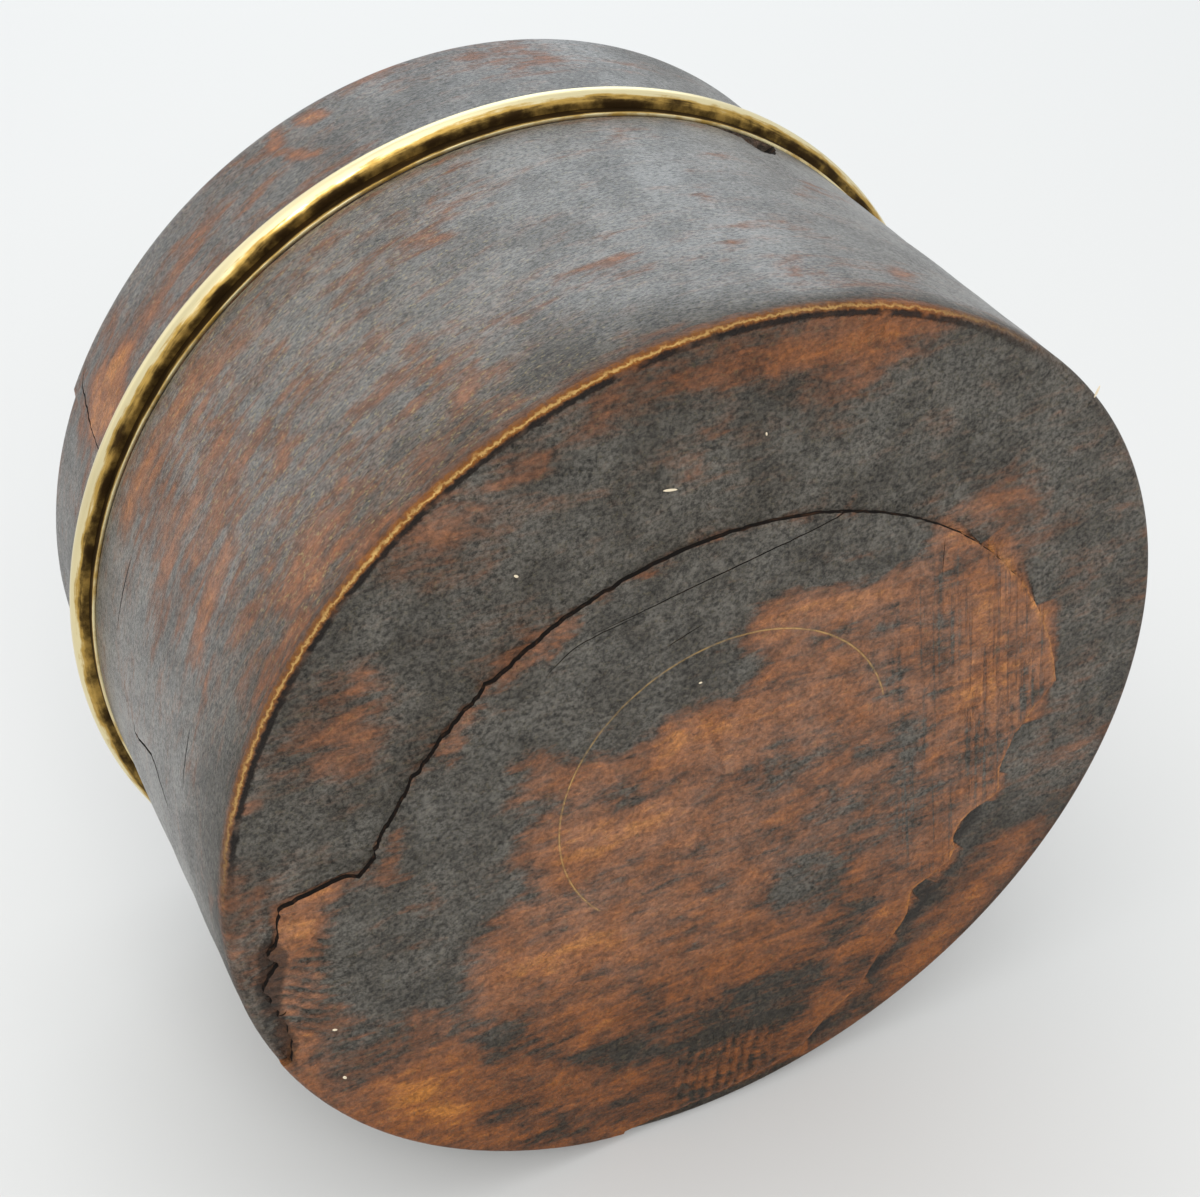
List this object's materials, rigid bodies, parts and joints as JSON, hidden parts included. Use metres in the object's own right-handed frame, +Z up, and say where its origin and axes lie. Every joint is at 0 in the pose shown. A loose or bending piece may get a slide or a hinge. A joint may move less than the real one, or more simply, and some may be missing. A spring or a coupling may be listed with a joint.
{
  "type": "round wooden box",
  "caption": "Turned round wooden box with a lift-off lid that seats over a spigot, and a brass band and half-round bead round the lid's rim.",
  "frame": {"origin": "on the turning axis, in the plane the base stands on", "axes": "+Z up along the turning axis, from the base to the lid; the raised field under the base reaches the rim towards +Y"},
  "size_m": [0.18, 0.18, 0.1086],
  "materials": {
    "body_wood": "old dark polish over reddish brown wood, worn through in patches",
    "lid_wood": "old dark polish over brown wood, worn at the edge",
    "brass": "aged brass, bright on the outer curve and tarnished in the corners"
  },
  "bodies": {
    "box": {"box_body": "body_wood"},
    "lid": {"lid": "lid_wood", "rim_band": "brass", "rim_bead": "brass"}
  },
  "joints": [
    {"name": "lid_lift", "type": "slide", "parent": "box", "child": "lid", "axis": [0, 0, 1], "range_m": [0, 0.08]}
  ]
}
